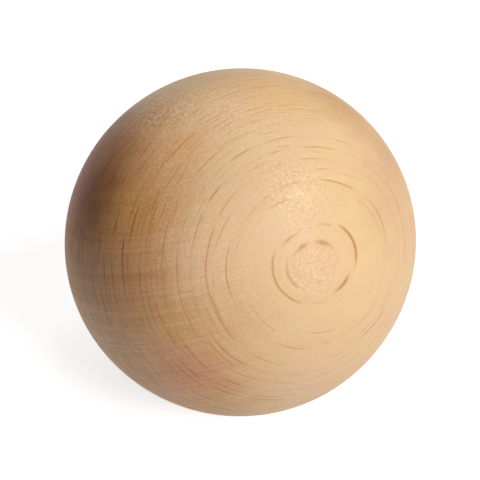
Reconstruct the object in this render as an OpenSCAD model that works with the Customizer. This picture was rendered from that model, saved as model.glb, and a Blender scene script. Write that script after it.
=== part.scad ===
// Ball knob for a cabinet door or a drawer, turned in one piece from beech.
// It stands on its seat, whose centre is the origin, and +Z runs out through
// the front of the knob. The screw that holds it comes in from below.
// All sizes are in millimetres.

/* [Ball] */
// Diameter of the ball
ball_d = 40; // [30:1:60]

/* [Seat] */
// Diameter at which the plane of the seat cuts the ball
seat_d = 18; // [14:1:24]
// Radius of the sanded edge between the seat and the ball
edge_r = 0.8; // [0.4:0.1:1.5]

/* [Screw hole] */
// Diameter of the pilot hole, in which the screw cuts its own thread
hole_d = 3.5; // [2.5:0.1:5]
// Depth of the hole's straight wall below the seat
hole_depth = 20; // [10:1:22]
// Angle of the drill's point, at the blind end of the hole
point_angle = 118; // [90:1:140]
// Diameter of the countersink at the mouth of the hole
sink_d = 5.5; // [5.5:0.5:8]
// Angle of the countersink
sink_angle = 90; // [60:15:120]

/* [Hidden] */
$fn = 96;
// Room by which a cut runs past the face that it opens
slack = 1;
ball_r = ball_d / 2;
// Height of the ball's centre above the seat
centre_z = sqrt(pow(ball_r, 2) - pow(seat_d / 2, 2));
// The edge is an arc that meets the seat and the ball without a corner. Its
// centre lies edge_r above the seat and edge_r inside the ball.
edge_x = sqrt(pow(ball_r - edge_r, 2) - pow(centre_z - edge_r, 2));
// Point at which the edge's arc runs into the ball
blend_x = edge_x * ball_r / (ball_r - edge_r);
blend_z = centre_z + (edge_r - centre_z) * ball_r / (ball_r - edge_r);
// Lengths of the two conical parts of the hole
point_depth = hole_d / 2 / tan(point_angle / 2);
sink_depth = (sink_d - hole_d) / 2 / tan(sink_angle / 2);

// What the sanding takes off the corner between the seat and the ball
module edge_waste() {
    difference() {
        polygon([
            [edge_x, -slack],
            [edge_x, 0],
            [blend_x, blend_z],
            [ball_r, blend_z],
            [ball_r, -slack]
        ]);
        translate([edge_x, edge_r]) circle(r = edge_r);
    }
}

// Half of the knob's outline, from its axis outwards
module half_outline() {
    difference() {
        intersection() {
            translate([0, centre_z]) circle(r = ball_r);
            square([ball_d, ball_d]);
        }
        edge_waste();
    }
}

// The space that the drill and the countersink leave
module screw_hole() {
    translate([0, 0, -slack])
        cylinder(h = hole_depth + slack, d = hole_d);
    translate([0, 0, hole_depth])
        cylinder(h = point_depth, d1 = hole_d, d2 = 0);
    cylinder(h = sink_depth, d1 = sink_d, d2 = hole_d);
}

module knob() {
    color("burlywood")
        difference() {
            rotate_extrude() half_outline();
            screw_hole();
        }
}

knob();
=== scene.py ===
import math

import bpy
from mathutils import Matrix, Vector

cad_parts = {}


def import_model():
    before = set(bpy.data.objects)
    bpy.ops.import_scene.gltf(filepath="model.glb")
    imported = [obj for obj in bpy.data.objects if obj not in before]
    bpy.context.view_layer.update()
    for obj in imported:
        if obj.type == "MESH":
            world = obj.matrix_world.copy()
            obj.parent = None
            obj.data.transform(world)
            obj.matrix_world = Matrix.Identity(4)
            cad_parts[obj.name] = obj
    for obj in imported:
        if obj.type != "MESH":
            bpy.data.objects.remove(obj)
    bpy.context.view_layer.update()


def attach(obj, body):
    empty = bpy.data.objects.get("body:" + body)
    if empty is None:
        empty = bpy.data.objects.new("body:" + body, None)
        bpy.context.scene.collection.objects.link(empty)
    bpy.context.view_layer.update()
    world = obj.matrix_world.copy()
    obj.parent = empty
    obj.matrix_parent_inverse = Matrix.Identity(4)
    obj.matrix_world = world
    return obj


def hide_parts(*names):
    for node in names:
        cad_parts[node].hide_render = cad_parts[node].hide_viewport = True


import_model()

MM = 0.001

# The knob's turned outline, the same values as the solid's, in metres.
BALL_D = 40 * MM
SEAT_D = 18 * MM
EDGE_R = 0.8 * MM
HOLE_D = 3.5 * MM
HOLE_DEPTH = 20 * MM
POINT_ANGLE = math.radians(118)
SINK_D = 5.5 * MM
SINK_ANGLE = math.radians(90)
BALL_CENTRE = Vector((0, 0, math.sqrt((BALL_D / 2) ** 2 - (SEAT_D / 2) ** 2)))

# The wood's own axes at the knob: along the fibres, across them in the ring, and out
# towards the heart of the tree.
ALONG = Vector((-0.847, -0.525, -0.082)).normalized()
ACROSS = Vector((0.437, -0.776, 0.456)).cross(ALONG).normalized()
TO_HEART = ALONG.cross(ACROSS)
# Share by which the ball has shrunk as the wood dried, across the fibres in the ring
# and towards the heart. Along the fibres it doesn't shrink.
SHRINK_ACROSS = 0.016
SHRINK_TO_HEART = 0.008

# Everything in the wood's figure is in millimetres.
BALL_MM = BALL_D / MM
# From the ball's centre to the heart of the tree
HEART_MM = 180.0
# How much nearer to the heart than the ball the first year ring starts
BEFORE_MM = 2.0
# Widths of the year rings, from there outwards
RINGS_MM = [BEFORE_MM + 0.36, 0.32, 1.98, 1.48, 1.08, 0.96, 1.48, 0.92, 0.76, 0.6, 1.16, 0.72, 1.56]
RINGS_MM += [1.2, 0.9, 1.3, 1.0] * 7
# How far a ring swings in and out of its true circle, in all
BEND_MM = 0.9
# How much nearer to the heart than a ring's end its false end lies
FALSE_MM = 0.55
# The dark dashes at a ring's true end and at its false one: length round the ring and
# along the fibres, sideways steps, thinnest and thickest half width, and the faintest's share
TRUE_DASHES = ((14.0, 4.2), 0.11, (0.055, 0.11), 0.5)
FALSE_DASHES = ((7.0, 3.4), 0.22, (0.04, 0.075), 0.1)

# Lengths of the wood's waves and flecks round the ring, along the fibres and outwards
PATCH_MM = (6.0, 14.0, 5.0)
HUE_MM = (3.0, 7.0, 3.0)
STREAK_MM = (2.0, 9.0, 2.0)
LAYER_MM = (5.0, 14.0, 0.26)
SHEET_MM = (0.38, 10.0, 18.0)
TUFT_MM = (0.22, 0.42, 0.22)
# Pores are 0.05 mm wide and are drawn coarser, since a pixel is 0.11 mm
PORE_MM = (0.2, 0.28, 0.2)
# Rays: their pitch round the ring, along the fibres and outwards, and half their thickness
BROAD_RAYS = ((1.0, 12.0, 30.0), 0.11)
SMALL_RAYS = ((0.5, 5.0, 10.0), 0.06)
# Height that the whole range of the relief would have
RELIEF_MM = 0.026

# Places where the colour drifts, partly the wood's own and partly painted light and shade:
# middle on the ball (along, across, to the heart), radius and colour
COLOUR_AND_PAINTED_LIGHT_PLACES_MM = (
    # Redder border of the heart stain
    ((9.0, -16.5, 4.0), 10.0, "#E7B07B"),
    # Brown heart stain on the end grain, darkest near the ball's upper edge: partly the wood's own colour
    # and partly painted shade on the side the lamps leave dark
    ((16.0, -11.0, 1.5), 12.0, "#C78344"),
    ((13.5, -14.5, -3.5), 13.0, "#A56430"),
    ((9.5, -17.0, -4.5), 7.0, "#9C643C"),
    ((15.8, -12.0, 1.6), 6.5, "#8D4914"),
    # Orange years beside it
    ((14.4, -9.5, 9.5), 9.0, "#DFA364"),
    ((17.0, -4.2, 9.5), 7.0, "#DBA373"),
    ((8.0, -15.8, 9.3), 6.5, "#ECB580"),
    # Pink ones low on the ball: partly the wood's own pink and partly painted light that the floor throws
    # back on it
    ((19.5, -3.0, 3.0), 8.0, "#E3B38C"),
    ((18.2, 2.2, 8.0), 6.5, "#E1AE80"),
    ((17.2, 6.8, 6.5), 8.0, "#E8BB98"),
    ((16.2, 10.5, 4.5), 8.0, "#F0C5A0"),
    ((14.6, 8.0, 11.0), 6.5, "#DDA37E"),
    ((3.8, 15.2, 12.4), 8.0, "#ECCCA4"),
    # Painted light: a paler place low on the end grain, where the floor throws light back on the ball
    ((19.4, 3.0, 1.5), 8.0, "#F4D0A6"),
    # Paler ones: a place on the side facing the front, and painted light on the ball's top
    ((10.0, -5.0, 16.2), 9.0, "#F0C89F"),
    ((2.0, -18.0, 8.0), 9.0, "#F3CB9C"),
    # Painted shade: browner places on the side the key lamp lights most, which dim it
    ((-12.0, -1.9, 15.9), 10.0, "#DCB68C"),
    ((-14.0, -12.0, 7.5), 9.0, "#D0A26F"),
    ((-16.2, -5.2, 10.3), 8.0, "#D2A97E"),
    # A more orange one
    ((-6.0, -18.0, 8.0), 9.0, "#ECC08A"),
)
# The place beside the stain where the dashes are darkest: middle and radius
DARK_DASHES_MM = ((14.5, -11.5, 6.5), 13.0)
# Places where sanding has raised short fibres, which glint: middle, radius, swing of tone,
# which paints their glints and the shade between them, and swing of gloss
ROUGH_MM = (
    ((6.5, -18.5, 2.0), 9.0, 1.9, 0.26),
    ((0.0, -17.0, 9.0), 13.0, 0.6, 0.08),
    ((-0.6, -7.9, 18.4), 7.0, 0.9, 0.46),
    ((1.3, 0.6, 20.0), 6.0, 0.8, 0.1),
    ((13.6, -11.3, 9.3), 11.0, 0.9, 0.1),
)


def linear(hex_colour):
    """The linear colour, with alpha, of an sRGB hex value."""
    channels = [int(hex_colour[i:i + 2], 16) / 255 for i in (1, 3, 5)]
    return tuple(c / 12.92 if c <= 0.04045 else ((c + 0.055) / 1.055) ** 2.4 for c in channels) + (1.0,)


def add(tree, kind, inputs=None, **settings):
    """Adds a node of that kind. inputs gives its sockets, by name or place, a value, or a
    node or socket to link from; a node stands for its first output in use."""
    node = tree.nodes.new(kind)
    for name, value in settings.items():
        setattr(node, name, value)
    for key, value in (inputs or {}).items():
        socket = node.inputs[key]
        if isinstance(key, str):
            socket = next(s for s in node.inputs if s.enabled and s.name == key)
        if isinstance(value, bpy.types.Node):
            value = next(s for s in value.outputs if s.enabled)
        if isinstance(value, bpy.types.NodeSocket):
            tree.links.new(value, socket)
        else:
            socket.default_value = value
    return node


# ---------------------------------------------------------------- the wood's figure

def wood_places(tree):
    """Where a point lies in the tree, in millimetres: (round the ring, along the fibres,
    outwards from the ball's point nearest to the heart), and the ball's own plain axes
    (along, across, to the heart)."""
    coords = add(tree, "ShaderNodeTexCoord")
    grain = add(tree, "ShaderNodeMapping", {
        "Vector": coords.outputs["Object"],
        "Location": BALL_CENTRE,
        "Rotation": Matrix((ALONG, ACROSS, TO_HEART)).transposed().to_euler(),
        "Scale": (MM, MM, MM),
    }, vector_type="TEXTURE")
    axes = add(tree, "ShaderNodeSeparateXYZ", {0: grain})
    from_heart = add(tree, "ShaderNodeMath", {0: HEART_MM, 1: axes.outputs["Z"]}, operation="SUBTRACT")
    flat = add(tree, "ShaderNodeCombineXYZ", {"X": from_heart, "Y": axes.outputs["Y"]})
    radius = add(tree, "ShaderNodeVectorMath", {0: flat}, operation="LENGTH")
    depth = add(tree, "ShaderNodeMath", {0: radius.outputs["Value"], 1: HEART_MM - BALL_MM / 2},
                operation="SUBTRACT")
    slope = add(tree, "ShaderNodeMath", {0: axes.outputs["Y"], 1: from_heart}, operation="DIVIDE")
    round_ring = add(tree, "ShaderNodeMath", {0: slope, 1: HEART_MM}, operation="MULTIPLY")
    place = add(tree, "ShaderNodeCombineXYZ", {"X": round_ring, "Y": axes.outputs["X"], "Z": depth})
    return place, grain


def drift(tree, place, size_mm, detail=0.0, shift=0.0):
    """Smooth noise about 0.5 whose waves have these lengths round the ring, along the
    fibres and outwards."""
    scaled = add(tree, "ShaderNodeVectorMath", {0: place, 1: size_mm}, operation="DIVIDE")
    moved = add(tree, "ShaderNodeVectorMath", {0: scaled, 1: (shift, shift, shift)}, operation="ADD")
    return add(tree, "ShaderNodeTexNoise", {"Vector": moved, "Scale": 1.0, "Detail": detail},
               noise_dimensions="3D")


def ring_curve(tree, value, points):
    """A curve through the points, straight between them."""
    curve = add(tree, "ShaderNodeFloatCurve", {"Value": value})
    line = curve.mapping.curves[0].points
    for place in points[1:-1]:
        line.new(*place)
    line[0].location = points[0]
    line[len(points) - 1].location = points[-1]
    for point in line:
        point.handle_type = "VECTOR"
    curve.mapping.update()
    return curve


def year_rings(tree, place, lead_mm):
    """Returns (distance outwards from the nearest ring's end in millimetres, its number),
    for rings that lie lead_mm nearer to the heart than the widths say."""
    reach = BALL_MM + BEFORE_MM
    edges = [0.0]
    for width in RINGS_MM:
        if edges[-1] + width < reach:
            edges.append(edges[-1] + width)
    edges.append(reach)
    last = len(edges) - 1
    shares = [edge / reach for edge in edges]
    counts = [n / last for n in range(last + 1)]

    split = add(tree, "ShaderNodeSeparateXYZ", {0: place})
    bend = drift(tree, place, (9.0, 16.0, 20.0), shift=3.1)
    bend = add(tree, "ShaderNodeMath", {0: bend, 1: BEND_MM, 2: BEFORE_MM + lead_mm - BEND_MM / 2},
               operation="MULTIPLY_ADD")
    depth = add(tree, "ShaderNodeMath", {0: split.outputs["Z"], 1: bend}, operation="ADD")
    share = add(tree, "ShaderNodeMath", {0: depth, 1: reach}, operation="DIVIDE")
    count = ring_curve(tree, share, list(zip(shares, counts)))
    number = add(tree, "ShaderNodeMath", {0: count, 1: float(last), 2: 0.5}, operation="MULTIPLY_ADD")
    number = add(tree, "ShaderNodeMath", {0: number}, operation="FLOOR")
    back = add(tree, "ShaderNodeMath", {0: number, 1: float(last)}, operation="DIVIDE")
    edge = ring_curve(tree, back, list(zip(counts, shares)))
    edge = add(tree, "ShaderNodeMath", {0: edge, 1: reach}, operation="MULTIPLY")
    return add(tree, "ShaderNodeMath", {0: depth, 1: edge}, operation="SUBTRACT"), number


def ring_lines(tree, place, steep, past, number, length_mm, jump_mm, half_mm, weakest):
    """The dark line at each ring's end, in dashes that follow one another with small
    sideways steps, 0 to 1. length_mm is a dash's length round the ring and along the
    fibres, half_mm the thinnest and thickest half width, weakest the faintest dash. steep
    is less where the surface lies along the ring and would show the line too wide."""
    split = add(tree, "ShaderNodeSeparateXYZ", {0: place})
    # Each ring has dashes of its own, from another part of the pattern
    apart = add(tree, "ShaderNodeMath", {0: number, 1: 41.3, 2: -41.3}, operation="MULTIPLY_ADD")
    x = add(tree, "ShaderNodeMath", {0: split.outputs["X"], 1: 1 / length_mm[0], 2: apart},
            operation="MULTIPLY_ADD")
    y = add(tree, "ShaderNodeMath", {0: split.outputs["Y"], 1: length_mm[1]}, operation="DIVIDE")
    at = add(tree, "ShaderNodeCombineXYZ", {"X": x, "Y": y})
    cell = add(tree, "ShaderNodeTexVoronoi", {"Vector": at, "Scale": 1.0, "Randomness": 0.9},
               voronoi_dimensions="2D", feature="F1")
    border = add(tree, "ShaderNodeTexVoronoi", {"Vector": at, "Scale": 1.0, "Randomness": 0.9},
                 voronoi_dimensions="2D", feature="DISTANCE_TO_EDGE")
    chance = add(tree, "ShaderNodeSeparateColor", {0: cell.outputs["Color"]})
    step = add(tree, "ShaderNodeMath", {0: chance.outputs[0], 1: 2 * jump_mm, 2: -jump_mm},
               operation="MULTIPLY_ADD")
    off = add(tree, "ShaderNodeMath", {0: past, 1: step}, operation="ADD")
    inside = add(tree, "ShaderNodeVectorMath", {0: at, 1: cell.outputs["Position"]}, operation="SUBTRACT")
    inside = add(tree, "ShaderNodeSeparateXYZ", {0: inside})
    slope = add(tree, "ShaderNodeMath", {0: chance.outputs[2], 1: 3 * jump_mm, 2: -1.5 * jump_mm},
                operation="MULTIPLY_ADD")
    off = add(tree, "ShaderNodeMath", {0: inside.outputs["Y"], 1: slope, 2: off}, operation="MULTIPLY_ADD")
    off = add(tree, "ShaderNodeMath", {0: off}, operation="ABSOLUTE")
    taper = add(tree, "ShaderNodeMapRange", {"Value": border, "From Min": 0.0, "From Max": 0.3},
                interpolation_type="SMOOTHSTEP")
    strong = add(tree, "ShaderNodeMapRange", {"Value": chance.outputs[1], "From Min": 0.15, "From Max": 0.9,
                                              "To Min": weakest, "To Max": 1.0})
    seen = add(tree, "ShaderNodeMath", {0: taper, 1: strong}, operation="MULTIPLY")
    half = add(tree, "ShaderNodeMapRange", {"Value": seen, "To Min": half_mm[0], "To Max": half_mm[1]})
    half = add(tree, "ShaderNodeMath", {0: half, 1: steep}, operation="MULTIPLY")
    ratio = add(tree, "ShaderNodeMath", {0: off, 1: half}, operation="DIVIDE")
    line = add(tree, "ShaderNodeMapRange", {"Value": ratio, "From Min": 0.0, "From Max": 1.5,
                                            "To Min": 1.0, "To Max": 0.0}, interpolation_type="SMOOTHSTEP")
    return add(tree, "ShaderNodeMath", {0: line, 1: seen}, operation="MULTIPLY")


def near(tree, grain, centre, radius):
    """1 at the centre, falling to 0 at that distance from it."""
    away = add(tree, "ShaderNodeVectorMath", {0: grain, 1: centre}, operation="DISTANCE")
    return add(tree, "ShaderNodeMapRange", {
        "Value": away.outputs["Value"], "From Min": 0.0, "From Max": radius, "To Min": 1.0, "To Max": 0.0,
    }, interpolation_type="SMOOTHSTEP")


def rays(tree, place, pitch_mm, half_mm, shift):
    """Rays, thin upright lenses of paler cells that run out from the heart, 0 to 1.
    pitch_mm is their pitch round the ring, along the fibres and outwards; half_mm is half
    a ray's thickness."""
    scaled = add(tree, "ShaderNodeVectorMath", {0: place, 1: pitch_mm}, operation="DIVIDE")
    moved = add(tree, "ShaderNodeVectorMath", {0: scaled, 1: (shift, shift, shift)}, operation="ADD")
    cell = add(tree, "ShaderNodeTexVoronoi", {"Vector": moved, "Scale": 1.0, "Randomness": 1.0},
               voronoi_dimensions="3D", feature="F1")
    off = add(tree, "ShaderNodeVectorMath", {0: moved, 1: cell.outputs["Position"]}, operation="SUBTRACT")
    off = add(tree, "ShaderNodeVectorMath", {0: off}, operation="ABSOLUTE")
    off = add(tree, "ShaderNodeSeparateXYZ", {0: off})
    tall = add(tree, "ShaderNodeMapRange", {"Value": off.outputs["Y"], "From Min": 0.1, "From Max": 0.5,
                                            "To Min": 1.0, "To Max": 0.0}, interpolation_type="SMOOTHSTEP")
    deep = add(tree, "ShaderNodeMapRange", {"Value": off.outputs["Z"], "From Min": 0.2, "From Max": 0.5,
                                            "To Min": 1.0, "To Max": 0.0}, interpolation_type="SMOOTHSTEP")
    body = add(tree, "ShaderNodeMath", {0: tall, 1: deep}, operation="MULTIPLY")
    thin = add(tree, "ShaderNodeMapRange", {"Value": off.outputs["X"], "From Min": 0.0,
                                            "From Max": 1.4 * half_mm / pitch_mm[0],
                                            "To Min": 1.0, "To Max": 0.0}, interpolation_type="SMOOTHSTEP")
    chance = add(tree, "ShaderNodeSeparateColor", {0: cell.outputs["Color"]})
    strong = add(tree, "ShaderNodeMath", {0: chance.outputs[0], 1: body}, operation="MULTIPLY")
    return add(tree, "ShaderNodeMath", {0: thin, 1: strong}, operation="MULTIPLY")


def cut_of_surface(tree, axes):
    """How the surface cuts the wood: end, 0 where it lies along the fibres and 1 on end
    grain; torn, 0 to 1, how rough sanding against the fibres has left it; and steep, which
    is most where it cuts straight through the rings."""
    # The fibres lean a little, so one end shows more end grain
    tilt = add(tree, "ShaderNodeMath", {0: axes.outputs["X"], 1: 2.5}, operation="ADD")
    tilt = add(tree, "ShaderNodeMath", {0: tilt}, operation="ABSOLUTE")
    end = add(tree, "ShaderNodeMapRange", {"Value": tilt, "From Min": 7.0, "From Max": 21.5},
              interpolation_type="SMOOTHSTEP")
    torn = add(tree, "ShaderNodeMapRange", {"Value": axes.outputs["X"], "From Min": 0.0, "From Max": 18.0})
    steep = add(tree, "ShaderNodeMath", {0: axes.outputs["Z"]}, operation="ABSOLUTE")
    steep = add(tree, "ShaderNodeMapRange", {"Value": steep, "From Min": 6.0, "From Max": 20.0,
                                             "To Min": 1.0, "To Max": 0.5})
    # Pores cut square are the widest
    open_pore = add(tree, "ShaderNodeMapRange", {"Value": end, "To Min": 0.9, "To Max": 1.2})
    steep = add(tree, "ShaderNodeMath", {0: steep, 1: open_pore}, operation="MULTIPLY")
    return end, torn, steep


def late_wood(tree, place, steep):
    """The dark lines at the rings' true and false ends, and the denser wood just before the
    true ones, each 0 to 1."""
    past, number = year_rings(tree, place, 0.0)
    true_line = ring_lines(tree, place, steep, past, number, *TRUE_DASHES)
    false_past, false_number = year_rings(tree, place, FALSE_MM)
    false_line = ring_lines(tree, place, steep, false_past, false_number, *FALSE_DASHES)
    false_line = add(tree, "ShaderNodeMath", {0: false_line, 1: 0.8}, operation="MULTIPLY")
    line = add(tree, "ShaderNodeMath", {0: true_line, 1: false_line}, operation="MAXIMUM")

    rise = add(tree, "ShaderNodeMapRange", {"Value": past, "From Min": -0.5, "From Max": 0.0},
               interpolation_type="SMOOTHSTEP")
    fall = add(tree, "ShaderNodeMapRange", {"Value": past, "From Min": 0.0, "From Max": 0.15,
                                            "To Min": 1.0, "To Max": 0.0}, interpolation_type="SMOOTHSTEP")
    dense = add(tree, "ShaderNodeMath", {0: rise, 1: fall}, operation="MULTIPLY")
    return line, dense


def figure(tree, place, end, torn, speckle):
    """How much paler, or below 0 darker, than its body's colour the wood is, as a share:
    soft patches, pores, and the layers and sheets of rays that show on end grain."""
    patches = drift(tree, place, PATCH_MM, detail=2.0, shift=21.3)
    layers = drift(tree, place, LAYER_MM, detail=1.0, shift=1.7)
    sheets = drift(tree, place, SHEET_MM, detail=1.0, shift=7.7)
    tone = 0.0
    # The swing of each where its mask is 0 and where it is 1
    for noise, mask, low, high in (
        (patches, end, 0.05, 0.10), (speckle, torn, 0.08, 0.75),
        (layers, end, 0.02, 0.34), (sheets, end, 0.02, 0.42),
    ):
        swing = add(tree, "ShaderNodeMapRange", {"Value": mask, "To Min": low, "To Max": high})
        off = add(tree, "ShaderNodeMath", {0: noise, 1: 0.5}, operation="SUBTRACT")
        tone = add(tree, "ShaderNodeMath", {0: off, 1: swing, 2: tone}, operation="MULTIPLY_ADD")
    return tone


def raised_fibres_painted_glints(tree, place, grain, tone, roughness):
    """That tone and roughness with the short fibres that sanding has raised, which glint and
    shade one another: the gloss is in the roughness, and the glints and shade are painted as flecks in the
    tone."""
    tufts = drift(tree, place, TUFT_MM, detail=2.0, shift=44.1)
    off = add(tree, "ShaderNodeMath", {0: tufts, 1: 0.47}, operation="SUBTRACT")
    for centre, radius, swing, gloss in ROUGH_MM:
        share = near(tree, grain, centre, radius)
        swing = add(tree, "ShaderNodeMath", {0: share, 1: swing}, operation="MULTIPLY")
        # Painted glints and painted shade: pale and dark flecks in the tone
        tone = add(tree, "ShaderNodeMath", {0: off, 1: swing, 2: tone}, operation="MULTIPLY_ADD")
        gloss = add(tree, "ShaderNodeMath", {0: share, 1: -gloss}, operation="MULTIPLY")
        roughness = add(tree, "ShaderNodeMath", {0: tufts, 1: gloss, 2: roughness},
                        operation="MULTIPLY_ADD")
    return tone, roughness


def with_rays(tree, place, end, tone):
    """That tone with the rays seen edge on, which are paler."""
    broad = rays(tree, place, *BROAD_RAYS, 0.0)
    small = rays(tree, place, *SMALL_RAYS, 11.0)
    ray = add(tree, "ShaderNodeMath", {0: broad, 1: small}, operation="MAXIMUM")
    ray = add(tree, "ShaderNodeMath", {0: ray, 1: end}, operation="MULTIPLY")
    return add(tree, "ShaderNodeMath", {0: ray, 1: 0.22, 2: tone}, operation="MULTIPLY_ADD")


def body_colour_with_painted_light(tree, place, grain, end, dense):
    """The wood's colour without its figure: paler along the fibres and browner on end
    grain, with the places where it drifts, some of which are painted light and shade."""
    body = add(tree, "ShaderNodeMix", {"Factor": end, "A": linear("#E7C497"), "B": linear("#E0AE77")},
               data_type="RGBA")
    # The places' borders run out in streaks along the fibres
    streaks = drift(tree, place, STREAK_MM, detail=1.0, shift=51.3)
    streaks = add(tree, "ShaderNodeVectorMath", {0: streaks.outputs["Color"], 1: (0.5, 0.5, 0.5)},
                  operation="SUBTRACT")
    spread = add(tree, "ShaderNodeVectorMath", {0: streaks, 1: (7.0, 3.0, 3.0), 2: grain},
                 operation="MULTIPLY_ADD")
    # Some of these places are painted light and painted shade
    for centre, radius, colour in COLOUR_AND_PAINTED_LIGHT_PLACES_MM:
        share = near(tree, spread, centre, radius)
        body = add(tree, "ShaderNodeMix", {"Factor": share, "A": body, "B": linear(colour)},
                   data_type="RGBA")
    # Slow drift of hue between pink and yellow
    hue = drift(tree, place, HUE_MM, detail=1.0, shift=31.3)
    hue = add(tree, "ShaderNodeMapRange", {"Value": hue, "From Min": 0.35, "From Max": 0.65})
    hue = add(tree, "ShaderNodeMix", {"Factor": hue, "A": linear("#FFFBFC"), "B": linear("#FFFFF9")},
              data_type="RGBA")
    body = add(tree, "ShaderNodeMix", {"Factor": 1.0, "A": body, "B": hue}, data_type="RGBA",
               blend_type="MULTIPLY")
    share = add(tree, "ShaderNodeMath", {0: dense, 1: 0.08}, operation="MULTIPLY")
    return add(tree, "ShaderNodeMix", {"Factor": share, "A": body, "B": linear("#CF9B62")},
               data_type="RGBA")


def line_share(tree, grain, axes, torn, steep):
    """How much a line darkens the wood. It is most where the surface lies along the rings,
    on the torn end and beside the stain, and least on the end sanded with the fibres."""
    share = add(tree, "ShaderNodeMapRange", {"Value": steep, "From Min": 0.45, "From Max": 0.7,
                                             "To Min": 0.84, "To Max": 0.46})
    share = add(tree, "ShaderNodeMath", {0: torn, 1: 0.14, 2: share}, operation="MULTIPLY_ADD")
    stain = near(tree, grain, *DARK_DASHES_MM)
    share = add(tree, "ShaderNodeMath", {0: stain, 1: 0.45, 2: share}, operation="MULTIPLY_ADD")
    smooth = add(tree, "ShaderNodeMapRange", {"Value": axes.outputs["X"], "From Min": -16.0,
                                              "From Max": -5.0, "To Min": 0.5, "To Max": 1.0})
    return add(tree, "ShaderNodeMath", {0: share, 1: smooth}, operation="MULTIPLY")


def beech(name, tint, roughness):
    """Raw beech, as turning and fine sanding leave it: matt, with a faint gloss on pressed
    fibres, pores about a hundredth of a millimetre rough, and a short dark dash where late
    wood ends. Its colour also holds painted light and shade. A tint below 1 darkens it."""
    mat = bpy.data.materials.new(name)
    mat.use_nodes = True
    tree = mat.node_tree
    tree.nodes.clear()
    place, grain = wood_places(tree)
    axes = add(tree, "ShaderNodeSeparateXYZ", {0: grain})
    end, torn, steep = cut_of_surface(tree, axes)
    line, dense = late_wood(tree, place, steep)
    speckle = drift(tree, place, PORE_MM, detail=2.0, shift=5.9)
    tone = figure(tree, place, end, torn, speckle)
    tone, roughness = raised_fibres_painted_glints(tree, place, grain, tone, roughness)
    tone = with_rays(tree, place, end, tone)

    # Darker wood is also browner: blue falls twice as fast as red
    tone = add(tree, "ShaderNodeVectorMath", {0: tone, 1: (0.72, 1.0, 1.65), 2: (tint, tint, tint)},
               operation="MULTIPLY_ADD")
    body = body_colour_with_painted_light(tree, place, grain, end, dense)
    body = add(tree, "ShaderNodeVectorMath", {0: body, 1: tone}, operation="MULTIPLY")
    share = line_share(tree, grain, axes, torn, steep)
    share = add(tree, "ShaderNodeMath", {0: line, 1: share}, operation="MULTIPLY")
    body = add(tree, "ShaderNodeMix", {"Factor": share, "A": body, "B": linear("#C49530")},
               data_type="RGBA", blend_type="MULTIPLY")

    # Relief: pores stand up, most on the torn end, and the lines lie a little lower
    height = add(tree, "ShaderNodeMapRange", {"Value": torn, "To Min": 0.35, "To Max": 1.0})
    height = add(tree, "ShaderNodeMath", {0: height, 1: speckle}, operation="MULTIPLY")
    height = add(tree, "ShaderNodeMath", {0: line, 1: -0.25, 2: height}, operation="MULTIPLY_ADD")
    relief = add(tree, "ShaderNodeBump", {"Height": height, "Strength": 1.0, "Distance": RELIEF_MM * MM})
    shader = add(tree, "ShaderNodeBsdfPrincipled", {
        "Base Color": body,
        "Roughness": roughness,
        "IOR": 1.5,
        "Specular IOR Level": 0.17,
        "Sheen Weight": 0.02,
        "Sheen Roughness": 0.4,
        "Normal": relief,
    })
    add(tree, "ShaderNodeOutputMaterial", {"Surface": shader})
    return mat


# ---------------------------------------------------------------- the knob's shape

# Edges that turn by more than this are left crisp
SHARP_ANGLE = math.radians(25)
# Steps round the knob and along the ball's arc
SEGMENTS = 256
ARC_STEPS = 160
# Points on each straight stretch and on the seat's rounded rim
STEPS = 12


def turning_group():
    """A node group that turns an outline, drawn in the plane of X and Z, about the Z axis."""
    tree = bpy.data.node_groups.new("turned_about_z", "GeometryNodeTree")
    side = tree.interface
    side.new_socket("Outline", in_out="INPUT", socket_type="NodeSocketGeometry")
    side.new_socket("Segments", in_out="INPUT", socket_type="NodeSocketInt")
    side.new_socket("Skin", in_out="OUTPUT", socket_type="NodeSocketGeometry")
    given = add(tree, "NodeGroupInput")
    size = add(tree, "GeometryNodeAttributeDomainSize", {"Geometry": given.outputs["Outline"]},
               component="CURVE")
    columns = add(tree, "ShaderNodeMath", {0: given.outputs["Segments"], 1: 1.0}, operation="ADD")
    grid = add(tree, "GeometryNodeMeshGrid", {
        "Size X": 1.0, "Size Y": 1.0,
        "Vertices X": size.outputs["Point Count"],
        "Vertices Y": columns,
    })
    at = add(tree, "ShaderNodeSeparateXYZ", {0: add(tree, "GeometryNodeInputPosition")})
    gaps = add(tree, "ShaderNodeMath", {0: size.outputs["Point Count"], 1: 1.0}, operation="SUBTRACT")
    along = add(tree, "ShaderNodeMath", {0: at.outputs["X"], 1: 0.5}, operation="ADD")
    row = add(tree, "ShaderNodeMath", {0: along, 1: gaps}, operation="MULTIPLY")
    row = add(tree, "ShaderNodeMath", {0: row}, operation="ROUND")
    point = add(tree, "GeometryNodeSampleIndex", {
        "Geometry": given.outputs["Outline"],
        "Value": add(tree, "GeometryNodeInputPosition"),
        "Index": row,
    }, data_type="FLOAT_VECTOR", domain="POINT")
    angle = add(tree, "ShaderNodeMath", {0: at.outputs["Y"], 1: math.tau}, operation="MULTIPLY")
    turned = add(tree, "ShaderNodeVectorRotate", {"Vector": point, "Angle": angle}, rotation_type="Z_AXIS")
    placed = add(tree, "GeometryNodeSetPosition", {"Geometry": grid.outputs["Mesh"], "Position": turned})
    outwards = add(tree, "GeometryNodeFlipFaces", {"Mesh": placed})
    add(tree, "NodeGroupOutput", {"Skin": outwards})
    return tree


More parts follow.
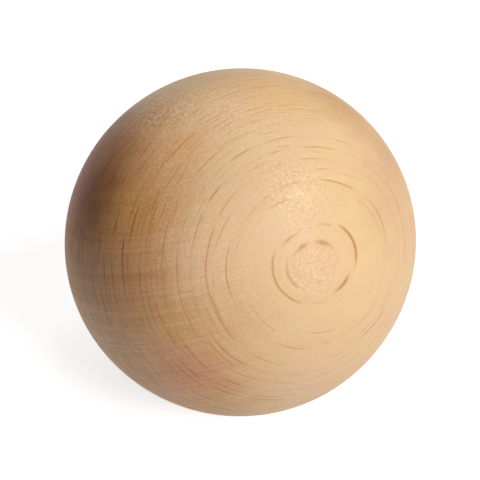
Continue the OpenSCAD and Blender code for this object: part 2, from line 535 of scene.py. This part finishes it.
def dried(tree, size, skin):
    """The skin shrunk across the fibres, not at all at the seat and fully from nearly half
    way up."""
    here = add(tree, "GeometryNodeInputPosition")
    height = add(tree, "ShaderNodeSeparateXYZ", {0: here})
    share = add(tree, "ShaderNodeMapRange", {
        "Value": height.outputs["Z"], "From Min": 0.0, "From Max": size["Seat diameter"],
    }, interpolation_type="SMOOTHSTEP")
    moves = []
    for axis, shrinkage in ((ACROSS, "Shrinkage across"), (TO_HEART, "Shrinkage to heart")):
        reach = add(tree, "ShaderNodeVectorMath", {0: here, 1: axis}, operation="DOT_PRODUCT")
        amount = add(tree, "ShaderNodeMath", {0: reach.outputs["Value"], 1: size[shrinkage]},
                     operation="MULTIPLY")
        amount = add(tree, "ShaderNodeMath", {0: amount, 1: share}, operation="MULTIPLY")
        moves.append(add(tree, "ShaderNodeVectorMath", {0: tuple(-axis), "Scale": amount},
                         operation="SCALE"))
    move = add(tree, "ShaderNodeVectorMath", {0: moves[0], 1: moves[1]}, operation="ADD")
    return add(tree, "GeometryNodeSetPosition", {"Geometry": skin, "Offset": move})


def knob_tree():
    """The node tree that turns the knob from its named sizes."""
    tree = bpy.data.node_groups.new("ball_knob", "GeometryNodeTree")
    for name, value in (
        ("Ball diameter", BALL_D),
        ("Seat diameter", SEAT_D),
        ("Edge radius", EDGE_R),
        ("Hole diameter", HOLE_D),
        ("Hole depth", HOLE_DEPTH),
        ("Point angle", POINT_ANGLE),
        ("Countersink diameter", SINK_D),
        ("Countersink angle", SINK_ANGLE),
        ("Shrinkage across", SHRINK_ACROSS),
        ("Shrinkage to heart", SHRINK_TO_HEART),
    ):
        tree.interface.new_socket(name, in_out="INPUT", socket_type="NodeSocketFloat").default_value = value
    for name in ("Segments", "Rings"):
        tree.interface.new_socket(name, in_out="INPUT", socket_type="NodeSocketInt")
    for name in ("Sanded wood", "Drilled wood"):
        tree.interface.new_socket(name, in_out="INPUT", socket_type="NodeSocketMaterial")
    tree.interface.new_socket("Knob", in_out="OUTPUT", socket_type="NodeSocketGeometry")
    size = add(tree, "NodeGroupInput").outputs
    turn = turning_group()

    ball_r = add(tree, "ShaderNodeMath", {0: size["Ball diameter"], 1: 0.5}, operation="MULTIPLY")
    seat_r = add(tree, "ShaderNodeMath", {0: size["Seat diameter"], 1: 0.5}, operation="MULTIPLY")
    hole_r = add(tree, "ShaderNodeMath", {0: size["Hole diameter"], 1: 0.5}, operation="MULTIPLY")
    sink_r = add(tree, "ShaderNodeMath", {0: size["Countersink diameter"], 1: 0.5}, operation="MULTIPLY")

    def leg(long_side, short_side):
        """The other short side of a right-angled triangle."""
        squares = [add(tree, "ShaderNodeMath", {0: side, 1: 2.0}, operation="POWER")
                   for side in (long_side, short_side)]
        left = add(tree, "ShaderNodeMath", {0: squares[0], 1: squares[1]}, operation="SUBTRACT")
        return add(tree, "ShaderNodeMath", {0: left}, operation="SQRT")

    def cone_depth(wide_r, narrow_r, full_angle):
        """How deep a cone of that full angle is between two radii."""
        across = add(tree, "ShaderNodeMath", {0: wide_r, 1: narrow_r}, operation="SUBTRACT")
        half = add(tree, "ShaderNodeMath", {0: full_angle, 1: 0.5}, operation="MULTIPLY")
        tangent = add(tree, "ShaderNodeMath", {0: half}, operation="TANGENT")
        return add(tree, "ShaderNodeMath", {0: across, 1: tangent}, operation="DIVIDE")

    centre_z = leg(ball_r, seat_r)
    inner_r = add(tree, "ShaderNodeMath", {0: ball_r, 1: size["Edge radius"]}, operation="SUBTRACT")
    rise = add(tree, "ShaderNodeMath", {0: centre_z, 1: size["Edge radius"]}, operation="SUBTRACT")
    edge_x = leg(inner_r, rise)
    fall = add(tree, "ShaderNodeMath", {0: size["Edge radius"], 1: centre_z}, operation="SUBTRACT")
    blend = add(tree, "ShaderNodeMath", {0: fall, 1: edge_x}, operation="ARCTAN2")
    sink_depth = cone_depth(sink_r, hole_r, size["Countersink angle"])
    point_depth = cone_depth(hole_r, 0.0, size["Point angle"])
    tip = add(tree, "ShaderNodeMath", {0: size["Hole depth"], 1: point_depth}, operation="ADD")

    def straight(start, end):
        """The skin of a straight stretch of the outline, between two (radius, height)."""
        ends = [add(tree, "ShaderNodeCombineXYZ", {"X": x, "Z": z}) for x, z in (start, end)]
        outline = add(tree, "GeometryNodeCurvePrimitiveLine", {"Start": ends[0], "End": ends[1]})
        count = add(tree, "GeometryNodeResampleCurve", {"Curve": outline, "Count": STEPS})
        return add(tree, "GeometryNodeGroup", {"Outline": count, "Segments": size["Segments"]},
                   node_tree=turn)

    def arc(centre, radius, start, end, rings):
        """The skin of an arc of the outline, between two angles from the horizontal."""
        sweep = add(tree, "ShaderNodeMath", {0: end, 1: start}, operation="SUBTRACT")
        outline = add(tree, "GeometryNodeCurveArc", {
            "Resolution": rings, "Radius": radius, "Start Angle": start, "Sweep Angle": sweep,
        }, mode="RADIUS")
        middle = add(tree, "ShaderNodeCombineXYZ", {"X": centre[0], "Z": centre[1]})
        upright = add(tree, "GeometryNodeTransform", {
            "Geometry": outline, "Translation": middle, "Rotation": (math.pi / 2, 0, 0),
        })
        return add(tree, "GeometryNodeGroup", {"Outline": upright, "Segments": size["Segments"]},
                   node_tree=turn)

    hole = [
        straight((0.0, tip), (hole_r, size["Hole depth"])),
        straight((hole_r, size["Hole depth"]), (hole_r, sink_depth)),
        straight((hole_r, sink_depth), (sink_r, 0.0)),
    ]
    ball = [
        straight((sink_r, 0.0), (edge_x, 0.0)),
        arc((edge_x, size["Edge radius"]), size["Edge radius"], -math.pi / 2, blend, STEPS),
        arc((0.0, centre_z), ball_r, blend, math.pi / 2, size["Rings"]),
    ]
    bore = add(tree, "GeometryNodeJoinGeometry")
    for part in hole:
        tree.links.new(part.outputs[0], bore.inputs[0])
    skin = add(tree, "GeometryNodeJoinGeometry")
    for part in ball:
        tree.links.new(part.outputs[0], skin.inputs[0])

    shrunk = dried(tree, size, skin)
    sanded = add(tree, "GeometryNodeSetMaterial", {"Geometry": shrunk, "Material": size["Sanded wood"]})
    drilled = add(tree, "GeometryNodeSetMaterial", {"Geometry": bore, "Material": size["Drilled wood"]})
    whole = add(tree, "GeometryNodeJoinGeometry")
    for part in (sanded, drilled):
        tree.links.new(part.outputs[0], whole.inputs[0])
    closed = add(tree, "GeometryNodeMergeByDistance", {"Geometry": whole, "Distance": 0.001 * MM})
    smooth = add(tree, "GeometryNodeSetShadeSmooth", {"Geometry": closed, "Shade Smooth": True},
                 domain="FACE")
    corner = add(tree, "GeometryNodeInputMeshEdgeAngle")
    sharp = add(tree, "ShaderNodeMath", {0: corner.outputs["Unsigned Angle"], 1: SHARP_ANGLE},
                operation="GREATER_THAN")
    crisp = add(tree, "GeometryNodeSetShadeSmooth", {
        "Geometry": smooth, "Selection": sharp, "Shade Smooth": False,
    }, domain="EDGE")
    real = add(tree, "GeometryNodeRealizeInstances", {"Geometry": crisp})
    add(tree, "NodeGroupOutput", {"Knob": real})
    return tree


def knob():
    """The knob, made by its node tree and kept as a plain mesh."""
    tree = knob_tree()
    host = bpy.data.objects.new("knob_host", bpy.data.meshes.new("knob_host"))
    bpy.context.collection.objects.link(host)
    modifier = host.modifiers.new("turning", "NODES")
    modifier.node_group = tree
    chosen = {
        "Segments": SEGMENTS,
        "Rings": ARC_STEPS,
        "Sanded wood": beech("beech_turned_fine_sanded", 1.0, 0.5),
        "Drilled wood": beech("beech_drilled", 0.85, 0.75),
    }
    for item in tree.interface.items_tree:
        if item.in_out == "INPUT":
            modifier[item.identifier] = chosen.get(item.name, getattr(item, "default_value", None))
    seen = host.evaluated_get(bpy.context.evaluated_depsgraph_get())
    mesh = bpy.data.meshes.new_from_object(seen)
    mesh.name = "knob_beech"
    piece = bpy.data.objects.new("knob_beech", mesh)
    bpy.context.collection.objects.link(piece)
    bpy.data.objects.remove(host)
    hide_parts("knob")
    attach(piece, "root")
    return piece


# ---------------------------------------------------------------- floor, light and camera

def seen_directly(tree):
    """1 for what the camera sees, by itself, in gloss or through glass, else 0."""
    path = add(tree, "ShaderNodeLightPath")
    either = add(tree, "ShaderNodeMath", {
        0: path.outputs["Is Camera Ray"], 1: path.outputs["Is Glossy Ray"],
    }, operation="MAXIMUM")
    return add(tree, "ShaderNodeMath", {0: either, 1: path.outputs["Is Transmission Ray"]},
               operation="MAXIMUM")


def floor():
    """White paper. Where it is seen it glows, and the lamps' light on top of the glow keeps
    the knob's shadow."""
    mesh = bpy.data.meshes.new("floor")
    # Half its side, in metres
    half = 3.0
    # A hair below the seat, so that the two faces don't flicker
    low = -0.02 * MM
    corners = [(-half, -half, low), (half, -half, low), (half, half, low), (-half, half, low)]
    mesh.from_pydata(corners, [], [(0, 1, 2, 3)])
    obj = bpy.data.objects.new("floor", mesh)
    bpy.context.collection.objects.link(obj)
    mat = bpy.data.materials.new("floor_paper")
    mat.use_nodes = True
    tree = mat.node_tree
    tree.nodes.clear()
    lit = add(tree, "ShaderNodeBsdfDiffuse", {"Color": linear("#CDCACB")})
    glow = add(tree, "ShaderNodeEmission", {"Color": (1, 1, 1, 1), "Strength": 0.8})
    both = add(tree, "ShaderNodeAddShader", {0: lit, 1: glow})
    mix = add(tree, "ShaderNodeMixShader", {0: seen_directly(tree), 1: lit, 2: both})
    add(tree, "ShaderNodeOutputMaterial", {"Surface": mix})
    mesh.materials.append(mat)


def world():
    """White where it is seen. It lights nothing, since the lamps do."""
    w = bpy.data.worlds.new("studio")
    bpy.context.scene.world = w
    w.use_nodes = True
    tree = w.node_tree
    tree.nodes.clear()
    dim = add(tree, "ShaderNodeBackground", {"Color": (1, 1, 1, 1), "Strength": 0.0})
    white = add(tree, "ShaderNodeBackground", {"Color": (1, 1, 1, 1), "Strength": 1.0})
    mix = add(tree, "ShaderNodeMixShader", {0: seen_directly(tree), 1: dim, 2: white})
    add(tree, "ShaderNodeOutputWorld", {"Surface": mix})


# How steeply the camera looks down at the ball's middle, and from how far
VIEW_UP = math.radians(38)
VIEW_DISTANCE = 8 * BALL_D
# The ball's outline as a share of the frame
FRAME_FILL = 0.735


def camera():
    """A long lens that looks down on the ball's middle from the front."""
    data = bpy.data.cameras.new("camera")
    obj = bpy.data.objects.new("camera", data)
    bpy.context.collection.objects.link(obj)
    away = Vector((0, -math.cos(VIEW_UP), math.sin(VIEW_UP)))
    obj.location = BALL_CENTRE + away * VIEW_DISTANCE
    obj.rotation_euler = away.to_track_quat("Z", "Y").to_euler()
    rim = math.tan(math.asin(BALL_D / 2 / VIEW_DISTANCE))
    data.angle = 2 * math.atan(rim / FRAME_FILL)
    bpy.context.scene.camera = obj


def lamp(name, direction, size, watts):
    """A soft round lamp a metre from the ball's middle, that way, and turned to it."""
    data = bpy.data.lights.new(name, "AREA")
    data.shape = "DISK"
    data.size = size
    data.energy = watts
    obj = bpy.data.objects.new(name, data)
    bpy.context.collection.objects.link(obj)
    away = Vector(direction).normalized()
    obj.location = BALL_CENTRE + away
    obj.rotation_euler = away.to_track_quat("Z", "Y").to_euler()


knob()
floor()
world()
camera()
# The front is lit from the upper right; the others fill the top and the back
lamp("key", (0.56, -0.64, 0.52), 0.45, 7.7)
lamp("high_key", (0.56, -0.24, 0.79), 0.25, 1.9)
lamp("top", (0.20, 0.37, 0.9), 0.45, 1.95)
lamp("back", (0.0, 0.74, 0.67), 0.45, 1.25)

bpy.context.scene.view_settings.view_transform = "Standard"
